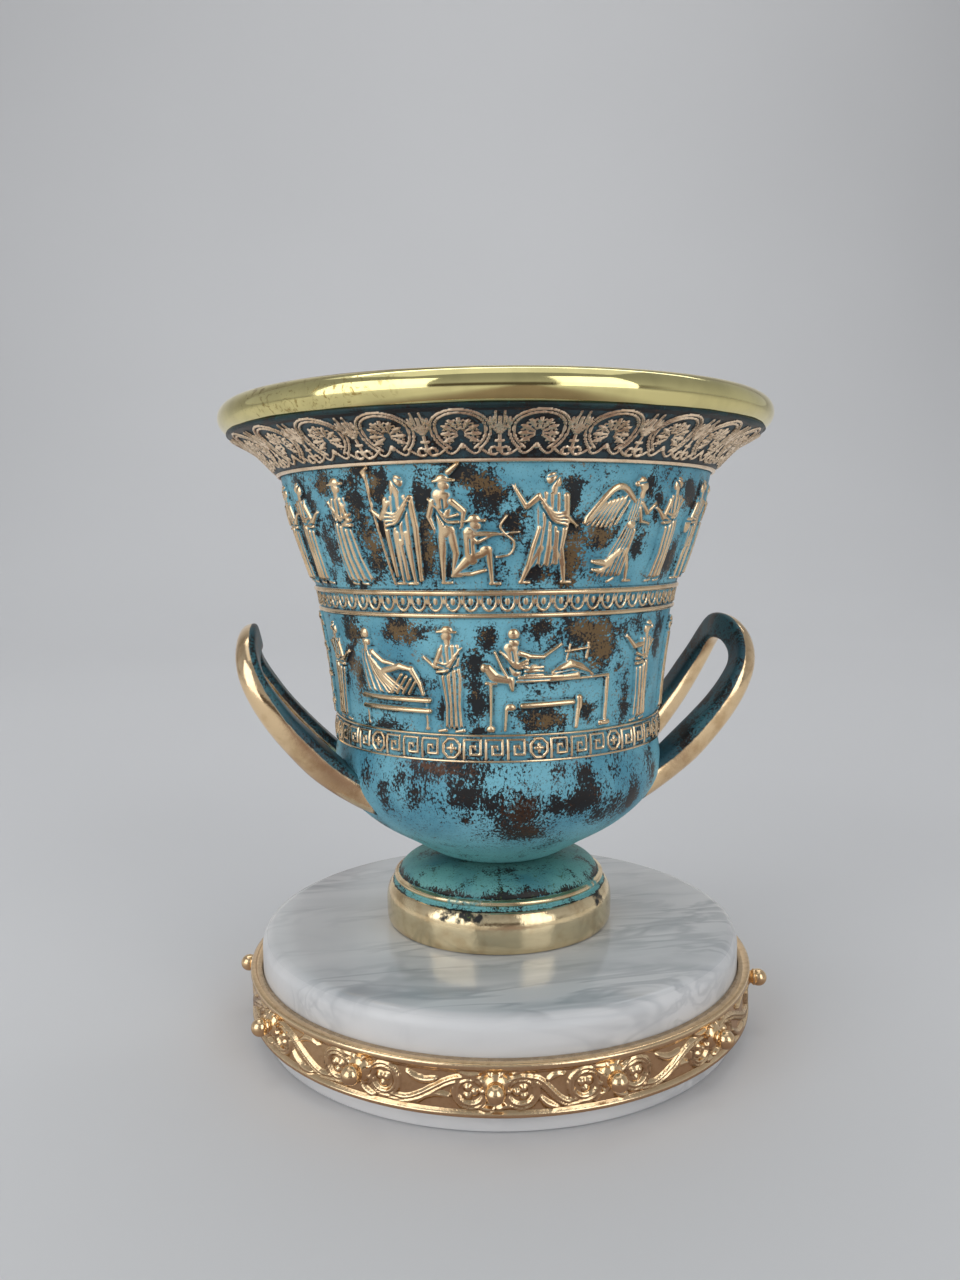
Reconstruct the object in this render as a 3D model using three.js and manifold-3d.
// A greek krater of cast bronze, cemented on a round marble base with a gilt gallery around it.
// Millimetres, +Z up. The origin is under the middle of the marble and the handles lie along X.
// An azimuth is in degrees around Z: 0 is the front (-Y), 90 is the right handle (+X).
import * as THREE from "three";
import { mergeVertices } from "three/addons/utils/BufferGeometryUtils.js";
import Module from "manifold-3d";

const wasm = await Module();
wasm.setup();

// ---- driving dimensions ----
const GAP = 0.3; // between two castings that touch
const SUNK = 0.8; // how far a raised ornament's back lies inside the wall that carries it
const CAVETTO_SUNK = 1.6; // the same where the wall hollows under the rim
const ROUND_STEPS = 30; // facets around every turned piece
const WIDEST_FLAT = 13; // the longest straight stretch of an ornament that goes round a wall

const MARBLE_RADIUS = 75;
const MARBLE_HEIGHT = 30.5;
const MARBLE_EDGE = 4; // radius of the rounded upper edge

const BAND_BOTTOM = 5.9;
const BAND_TOP = 20.3;
const BAND_GROUND = 77.6; // radius of the sheet between the two lips
const BAND_LIP = 79;
const LIP_WIDTH = 1.3;
// Azimuths of the bosses. The casting is bent round by hand, so they are not quite evenly spaced.
const BOSS_AZIMUTHS = [
  -101.7, -67.7, -39.7, -12.5, 9.8, 37.3, 69.3, 96.3, 123.3, 150.3, 177.3, 204.3, 231.3,
];
const BOSS_HEIGHT = 14.2;
const BOSS_SIDES = 5;
const BALL_RADIUS = 2.6;
const BALL_REACH = 82.2; // from the axis to the middle of a ball

const FOOT_RADIUS = 35.9;
const JOINT_RADIUS = 12.8; // where the bowl stands on the foot
const JOINT_HEIGHT = 51.6;

const RIM_TUBE_RADIUS = 78.7; // from the axis to the middle of the rolled rim
const RIM_HALF_WIDTH = 4.8;
const RIM_HALF_HEIGHT = 4.6;
const RIM_HEIGHT = 186.6;

const MEANDER_BOTTOM = 91;
const MEANDER_TOP = 98;
const EGGS_BOTTOM = 130.4;
const EGGS_TOP = 137.4;
const PALMETTES_BOTTOM = 170.4;
const PALMETTES_TOP = 180.6;
const FIGURE_RELIEF = 1.5;
const ORNAMENT_RELIEF = 0.6;
const STEM_RELIEF = 1;

// Outside of the bowl, [radius, height], from the joint up to the flange under the rim.
const BOWL_OUTSIDE = [
  [JOINT_RADIUS, JOINT_HEIGHT + GAP],
  [20.9, 53.8],
  [28.8, 58.5],
  [39.2, 64.8],
  [46.6, 71.6],
  [50.6, 78],
  [50.9, 84.5],
  [50.3, MEANDER_BOTTOM - 0.4],
  [51, MEANDER_BOTTOM],
  [50.8, MEANDER_TOP],
  [49.9, MEANDER_TOP + 0.4],
  [54.1, EGGS_BOTTOM - 0.5],
  [55.4, EGGS_BOTTOM],
  [54.7, EGGS_BOTTOM + 1.3],
  [55.4, EGGS_TOP - 1.3],
  [56.6, EGGS_TOP - 0.2],
  [55.9, EGGS_TOP + 0.5],
  [60.5, 150],
  [65.6, PALMETTES_BOTTOM - 0.6],
  [67, PALMETTES_BOTTOM],
  [69.4, 173.8],
  [73.8, 177.8],
  [79, PALMETTES_TOP],
  [80.6, 181.7],
];
// Inside of the bowl, from the flange down to the bottom: a wall of about 2.6 mm.
const BOWL_INSIDE = [
  [75.5, 181.7],
  [63.2, 170],
  [51.9, 131],
  [47.4, 98],
  [46.4, 77],
  [25, 60.5],
  [0, 56],
];

// ---- solids ----
function solidOf(geometry) {
  const bare = geometry.clone();
  bare.deleteAttribute("normal");
  bare.deleteAttribute("uv");
  const merged = mergeVertices(bare, 1e-4);
  const made = (triVerts) =>
    new wasm.Manifold(
      new wasm.Mesh({
        numProp: 3,
        vertProperties: merged.attributes.position.array,
        triVerts,
      }),
    );
  const triangles = new Uint32Array(merged.index.array);
  const solid = made(triangles);
  return solid.volume() < 0 ? made(triangles.reverse()) : solid;
}

function geometryOf(solid) {
  const mesh = solid.getMesh();
  const stride = mesh.numProp;
  const positions = new Float32Array(mesh.numVert * 3);
  for (let i = 0; i < mesh.numVert; i++)
    positions.set(mesh.vertProperties.subarray(i * stride, i * stride + 3), i * 3);
  return new THREE.BufferGeometry()
    .setAttribute("position", new THREE.BufferAttribute(positions, 3))
    .setIndex(new THREE.BufferAttribute(mesh.triVerts, 1));
}

const joined = (solids) => solids.reduce((all, next) => all.add(next));

// A turned solid: the profile, [radius, height], goes round the Z axis.
function turned(profile, steps = ROUND_STEPS) {
  const points = profile.map(([radius, height]) => new THREE.Vector2(radius, height));
  return solidOf(new THREE.LatheGeometry(points, steps).rotateX(Math.PI / 2));
}

function pointAt(azimuth, radius, height) {
  const angle = THREE.MathUtils.degToRad(azimuth);
  return new THREE.Vector3(radius * Math.sin(angle), -radius * Math.cos(angle), height);
}

// ---- raised ornament ----
// The wall's radius and outward slope at a height, read along its profile.
function wallAt(profile, height) {
  const next = Math.max(1, profile.findIndex(([, z]) => z > height));
  const [r0, z0] = profile[next - 1];
  const [r1, z1] = profile[next];
  const length = Math.hypot(r1 - r0, z1 - z0);
  return {
    radius: r0 + ((r1 - r0) * (height - z0)) / (z1 - z0),
    out: (z1 - z0) / length,
    up: -(r1 - r0) / length,
  };
}

// Bends a flat ornament round a wall. In the flat, x runs to the right and is measured at the
// ornament's foot, y is the height above `bottom` and z is proud of the wall.
function bentRound(solid, { profile, azimuth, bottom, lengthToHeight = 1 }) {
  const geometry = geometryOf(solid);
  const position = geometry.attributes.position;
  const { radius: reach } = wallAt(profile, bottom);
  for (let i = 0; i < position.count; i++) {
    const height = bottom + position.getY(i) * lengthToHeight;
    const { radius, out, up } = wallAt(profile, height);
    const proud = position.getZ(i);
    const turn = THREE.MathUtils.radToDeg(position.getX(i) / reach);
    const point = pointAt(azimuth + turn, radius + out * proud, height + up * proud);
    position.setXYZ(i, point.x, point.y, point.z);
  }
  return solidOf(geometry);
}

// A flat plate with the given outline, from `sunk` inside the wall to `relief` proud of it.
function plate(outline, relief, sunk = SUNK) {
  const shape = new THREE.Shape(outline.map(([x, y]) => new THREE.Vector2(x, y)));
  const options = { depth: relief + sunk, bevelEnabled: false };
  return solidOf(new THREE.ExtrudeGeometry(shape, options).translate(0, 0, -sunk));
}

// The outline of a straight limb that tapers from one width to another.
function limb([x0, y0], [x1, y1], width0, width1 = width0) {
  const length = Math.hypot(x1 - x0, y1 - y0);
  const nx = (y0 - y1) / length / 2;
  const ny = (x1 - x0) / length / 2;
  return [
    [x0 - nx * width0, y0 - ny * width0],
    [x1 - nx * width1, y1 - ny * width1],
    [x1 + nx * width1, y1 + ny * width1],
    [x0 + nx * width0, y0 + ny * width0],
  ];
}

// ---- the figures of the two friezes ----
// The outline of a standing figure, its feet at y = 0. `lean` shifts the shoulders, `hem` is the
// width of the robe, `stride` parts the legs, and `right` or `left` is where a hand reaches.
function person({ tall = 27, lean = 0, hem = 7.5, stride = 0, right, left }) {
  const shoulder = tall * 0.8;
  const armpit = shoulder - 3.2;
  const foot = stride / 2;
  const striding = [
    [-foot - 1.4, 0], [1 - foot, 0], [0, tall * 0.34], [foot - 1, 0], [foot + 1.4, 0],
  ];
  const feet = stride ? striding : [[-hem / 2, 0], [hem / 2, 0]];
  return [
    ...feet,
    ...(right ? [[lean + 2.6, armpit], right] : []),
    [lean + 2.6, shoulder],
    [lean + 2, tall * 0.93],
    [lean, tall],
    [lean - 2, tall * 0.93],
    [lean - 2.6, shoulder],
    ...(left ? [left, [lean - 2.6, armpit]] : []),
  ];
}

// A couch seen from its long side: two legs and a rail that is straight for short stretches.
function couch(width, tall) {
  const stretches = Math.ceil(width / WIDEST_FLAT);
  const stretch = width / stretches;
  const rail = Array.from({ length: stretches }, (_, i) => {
    const start = -width / 2 + i * stretch;
    return limb([start - 0.2, tall - 1], [start + stretch + 0.2, tall - 1], 2);
  });
  const leg = width / 2 - 1;
  return [...rail, ...[-leg, leg].map((x) => limb([x, 0], [x, tall - 1.5], 1.8))];
}

// A figure that reclines to the right on a couch of the given height.
function recliner(width, tall) {
  const low = tall + 0.3;
  return [
    limb([-width * 0.5, low + 2], [0.4, low + 2.2], 4, 4.4),
    limb([-0.4, low + 2.2], [width * 0.5, low + 1.4], 4.4, 2.8),
    [
      [-width * 0.34, low + 3], [-width * 0.08, low + 3], [-width * 0.13, low + 9.4],
      [-width * 0.17, low + 12.4], [-width * 0.31, low + 12.4], [-width * 0.36, low + 8.6],
    ],
  ];
}

const KINDS = {
  woman: [person({ hem: 8, lean: 0.6, right: [5, 13] })],
  maiden: [person({ hem: 7, lean: -0.8 })],
  elder: [person({ hem: 8.5, lean: -0.6, left: [-7, 16.5] }), limb([-8.8, 0.5], [-7.4, 27], 1.2)],
  archer: [
    person({ hem: 6, lean: -3.4 }),
    person({ tall: 18, hem: 9, lean: 1, right: [9, 13] }).map(([x, y]) => [x + 6.6, y]),
  ],
  strider: [person({ lean: 0.8, stride: 9, left: [-7.6, 23], right: [6.4, 13.5] })],
  winged: [
    person({ hem: 9, lean: 2.6, right: [9, 19] }),
    [[-0.8, 13.5], [-0.6, 20.5], [-12.5, 24.5], [-10.5, 16]],
  ],
  bearer: [person({ hem: 7, lean: 0.4, right: [6.6, 15.5] })],
  couch: [...couch(23, 8.5), ...recliner(21, 8.5)],
  banquet: [...couch(32, 14), ...recliner(29, 14)],
  pillar: [limb([0, 0], [0, 25], 4.4, 3.4)],
};

const UPPER_FRIEZE = { bottom: 139.9, profile: BOWL_OUTSIDE };
const LOWER_FRIEZE = { bottom: 99.6, profile: BOWL_OUTSIDE };

// The back of a frieze repeats the plainer kinds, evenly from one azimuth to another.
function backFigures(count, from, to) {
  const kinds = ["woman", "elder", "strider", "maiden", "bearer"];
  return Array.from({ length: count }, (_, i) => [
    kinds[i % kinds.length],
    from + ((to - from) * i) / (count - 1),
  ]);
}

// What stands where, by azimuth.
const UPPER_FIGURES = [
  ["maiden", -80],
  ["woman", -68],
  ["woman", -51],
  ["elder", -34],
  ["archer", -21],
  ["strider", 2],
  ["winged", 24],
  ["woman", 40],
  ["bearer", 54],
  ...backFigures(10, 75, 260),
];
const LOWER_FIGURES = [
  ["maiden", -72],
  ["couch", -46],
  ["woman", -25],
  ["banquet", 8],
  ["bearer", 41],
  ["pillar", 56],
  ["maiden", 84],
  ...backFigures(8, 109, 264),
];

function frieze(figures, band) {
  return figures.flatMap(([kind, azimuth]) =>
    KINDS[kind].map((outline) => bentRound(plate(outline, FIGURE_RELIEF), { ...band, azimuth })),
  );
}

// ---- the running ornaments ----
// Palmette fans, each of three leaves that rise from one point.
const PALMETTE_COUNT = 24;
const PALMETTE_TURN = -3.1;
function palmettes() {
  const fan = [[0, 1], [6.6, 8], [3.2, 9], [0, 14.4], [-3.2, 9], [-6.6, 8]];
  const low = wallAt(BOWL_OUTSIDE, PALMETTES_BOTTOM).radius;
  const high = wallAt(BOWL_OUTSIDE, PALMETTES_TOP).radius;
  const length = Math.hypot(high - low, PALMETTES_TOP - PALMETTES_BOTTOM);
  return Array.from({ length: PALMETTE_COUNT }, (_, i) =>
    bentRound(plate(fan, ORNAMENT_RELIEF, CAVETTO_SUNK), {
      profile: BOWL_OUTSIDE,
      azimuth: PALMETTE_TURN + (i * 360) / PALMETTE_COUNT,
      bottom: PALMETTES_BOTTOM + 0.3,
      lengthToHeight: (PALMETTES_TOP - PALMETTES_BOTTOM) / length,
    }),
  );
}

// ---- the pieces ----
function marbleBase() {
  const corner = 2;
  const edge = Array.from({ length: corner + 1 }, (_, i) => {
    const angle = (i / corner) * (Math.PI / 2);
    return [
      MARBLE_RADIUS - MARBLE_EDGE * (1 - Math.cos(angle)),
      MARBLE_HEIGHT - MARBLE_EDGE * (1 - Math.sin(angle)),
    ];
  });
  return turned([[0, 0], [MARBLE_RADIUS - 1, 0], [MARBLE_RADIUS, 1], ...edge, [0, MARBLE_HEIGHT]]);
}

const BAND_STEPS = 28;
// The band's inside is this much larger, so that its flats too are clear of the marble.
const BAND_INSIDE = (MARBLE_RADIUS + GAP) / Math.cos(Math.PI / BAND_STEPS);
const BAND_PROFILE = [
  [BAND_INSIDE, BAND_BOTTOM],
  [BAND_LIP, BAND_BOTTOM],
  [BAND_LIP, BAND_BOTTOM + LIP_WIDTH],
  [BAND_GROUND, BAND_BOTTOM + LIP_WIDTH],
  [BAND_GROUND, BAND_TOP - LIP_WIDTH],
  [BAND_LIP, BAND_TOP - LIP_WIDTH],
  [BAND_LIP, BAND_TOP],
  [BAND_INSIDE, BAND_TOP],
];

function galleryBand() {
  const place = { profile: BAND_PROFILE.slice(3, 5), bottom: (BAND_BOTTOM + BAND_TOP) / 2 };
  const pieces = [turned([...BAND_PROFILE, BAND_PROFILE[0]], BAND_STEPS)];
  // A stem swings from under one boss up to the next, in two straight stretches.
  const stem = (half) => [
    [[-half * 0.8, -2], [-half * 0.55, -4.8], [half * 0.02, -1.2], [-half * 0.02, 1.2]],
    [[-half * 0.02, -1.2], [half * 0.8, 2], [half * 0.55, 4.8], [half * 0.02, 1.2]],
  ];
  const neck = [
    [0, BAND_GROUND - SUNK],
    [2.4, BAND_GROUND - SUNK],
    [1.7, BALL_REACH - BALL_RADIUS],
    [BALL_RADIUS, BALL_REACH],
    [0, BALL_REACH + BALL_RADIUS],
  ];
  for (const [i, azimuth] of BOSS_AZIMUTHS.entries()) {
    const step = (BOSS_AZIMUTHS[i + 1] ?? BOSS_AZIMUTHS[0] + 360) - azimuth;
    const half = (THREE.MathUtils.degToRad(step) * BAND_GROUND) / 2;
    const points = neck.map(([radius, reach]) => new THREE.Vector2(radius, reach));
    const boss = new THREE.LatheGeometry(points, BOSS_SIDES).rotateX(Math.PI);
    boss.translate(0, 0, BOSS_HEIGHT).rotateZ(THREE.MathUtils.degToRad(azimuth));
    pieces.push(solidOf(boss));
    for (const stretch of stem(half)) {
      const swing = stretch.map(([x, y]) => [x, i % 2 ? y : -y]);
      pieces.push(bentRound(plate(swing, STEM_RELIEF), { ...place, azimuth: azimuth + step / 2 }));
    }
  }
  return joined(pieces);
}

function footCasting() {
  const bottom = MARBLE_HEIGHT + GAP;
  const outside = [
    [FOOT_RADIUS - 0.7, bottom],
    [FOOT_RADIUS, bottom + 3],
    [FOOT_RADIUS, bottom + 8],
    [FOOT_RADIUS - 1.4, bottom + 12],
    [FOOT_RADIUS - 3.3, bottom + 13],
    [FOOT_RADIUS - 2.7, bottom + 14.4],
    [FOOT_RADIUS - 4.5, JOINT_HEIGHT - 4.4],
    [FOOT_RADIUS - 9.4, JOINT_HEIGHT - 1.5],
    [JOINT_RADIUS, JOINT_HEIGHT],
    [0, JOINT_HEIGHT],
  ];
  const hollow = FOOT_RADIUS - 4;
  const inside = [[0, JOINT_HEIGHT - 4.1], [24, JOINT_HEIGHT - 5.1], [hollow, 40], [hollow, bottom]];
  return turned([...outside, ...inside, outside[0]]);
}

function bowlCasting() {
  const body = turned([[0, BOWL_OUTSIDE[0][1]], ...BOWL_OUTSIDE, ...BOWL_INSIDE]);
  return joined([
    body,
    ...frieze(UPPER_FIGURES, UPPER_FRIEZE),
    ...frieze(LOWER_FIGURES, LOWER_FRIEZE),
    ...palmettes(),
  ]);
}

function rolledRim() {
  const sides = 8;
  const profile = Array.from({ length: sides + 1 }, (_, i) => {
    const angle = ((i % sides) / sides) * 2 * Math.PI;
    return [
      RIM_TUBE_RADIUS + RIM_HALF_WIDTH * Math.cos(angle),
      RIM_HEIGHT + RIM_HALF_HEIGHT * Math.sin(angle),
    ];
  });
  return turned(profile);
}

// Half of a handle's middle line, from the root in the wall to the top of the loop:
// [outward, sideways, height] and the half width of the casting there.
const HANDLE_LINE = [
  [37.8, 19.9, 74.9, 5.2],
  [49.3, 17.2, 81.8, 5.9],
  [61.3, 18.5, 93.4, 6],
  [71.1, 19, 106.2, 5.1],
  [75.6, 13.6, 117.1, 4.3],
  [75, 0, 122.1, 4.2],
];
const HANDLE_STEPS = 14;
const HANDLE_SIDES = 8;

// A horseshoe loop with a D section: round outside, flat towards the bowl.
function handle(side) {
  const mirrored = HANDLE_LINE.slice(0, -1)
    .reverse()
    .map(([x, y, z, half]) => [x, -y, z, half]);
  const line = [...HANDLE_LINE, ...mirrored];
  const middle = new THREE.CatmullRomCurve3(line.map(([x, y, z]) => new THREE.Vector3(x, y, z)));
  const widths = new THREE.CatmullRomCurve3(line.map(([, , , half]) => new THREE.Vector3(half)));
  const positions = [];
  for (let i = 0; i <= HANDLE_STEPS; i++) {
    const t = i / HANDLE_STEPS;
    const point = middle.getPoint(t);
    const along = middle.getTangent(t);
    const half = widths.getPoint(t).x;
    // The loop lies in a surface that rises outwards, so its outer side looks out and down.
    const rise = Math.atan2(point.z - 60, point.x - 20) + 0.5;
    const out = new THREE.Vector3(Math.sin(rise), 0, -Math.cos(rise));
    out.addScaledVector(along, -out.dot(along)).normalize();
    const across = new THREE.Vector3().crossVectors(along, out);
    for (let j = 0; j < HANDLE_SIDES; j++) {
      const angle = ((j + 0.5) / HANDLE_SIDES) * 2 * Math.PI;
      const proud = half * Math.max(Math.sin(angle), -0.55);
      const ring = point.clone().addScaledVector(across, half * Math.cos(angle));
      positions.push(ring.addScaledVector(out, proud));
    }
  }
  const faces = [];
  for (let i = 0; i < HANDLE_STEPS; i++)
    for (let j = 0; j < HANDLE_SIDES; j++) {
      const a = i * HANDLE_SIDES + j;
      const b = i * HANDLE_SIDES + ((j + 1) % HANDLE_SIDES);
      faces.push(a, b, a + HANDLE_SIDES, b, b + HANDLE_SIDES, a + HANDLE_SIDES);
    }
  const last = HANDLE_STEPS * HANDLE_SIDES;
  for (let j = 1; j < HANDLE_SIDES - 1; j++)
    faces.push(0, j + 1, j, last, last + j, last + j + 1);
  const tube = new THREE.BufferGeometry().setFromPoints(positions).setIndex(faces);
  if (side < 0) tube.rotateZ(Math.PI);
  return solidOf(tube).subtract(bowlClearance());
}

// The bowl's outside grown by the gap: what a handle's roots are fitted to.
function bowlClearance() {
  const grown = BOWL_OUTSIDE.map(([radius, height]) => [radius + GAP + 0.15, height]);
  const [, lowest] = grown[0];
  const [, highest] = grown[grown.length - 1];
  return turned([[0, lowest], ...grown, [0, highest]]);
}

// ---- materials and the scene ----
function metal(color, roughness) {
  return new THREE.MeshStandardMaterial({ color, roughness, metalness: 1 });
}
const MATERIALS = {
  marble: new THREE.MeshStandardMaterial({ color: 0xd5d6da, roughness: 0.25, metalness: 0 }),
  gilt: metal(0xc8a566, 0.28),
  patina: new THREE.MeshStandardMaterial({ color: 0x4f97a6, roughness: 0.55, metalness: 0.35 }),
  bronze: metal(0xc2986a, 0.2),
  brass: metal(0xc9bd62, 0.12),
};

const krater = new THREE.Group();
krater.name = "greek_krater";
function addPiece(name, solid, material) {
  const mesh = new THREE.Mesh(geometryOf(solid), MATERIALS[material]);
  mesh.name = name;
  krater.add(mesh);
}
addPiece("marble_base", marbleBase(), "marble");
addPiece("gallery_band", galleryBand(), "gilt");
addPiece("krater_foot", footCasting(), "patina");
addPiece("krater_bowl", bowlCasting(), "patina");
addPiece("rim_ring", rolledRim(), "brass");
addPiece("handle_right", handle(1), "bronze");
addPiece("handle_left", handle(-1), "bronze");

export default krater;
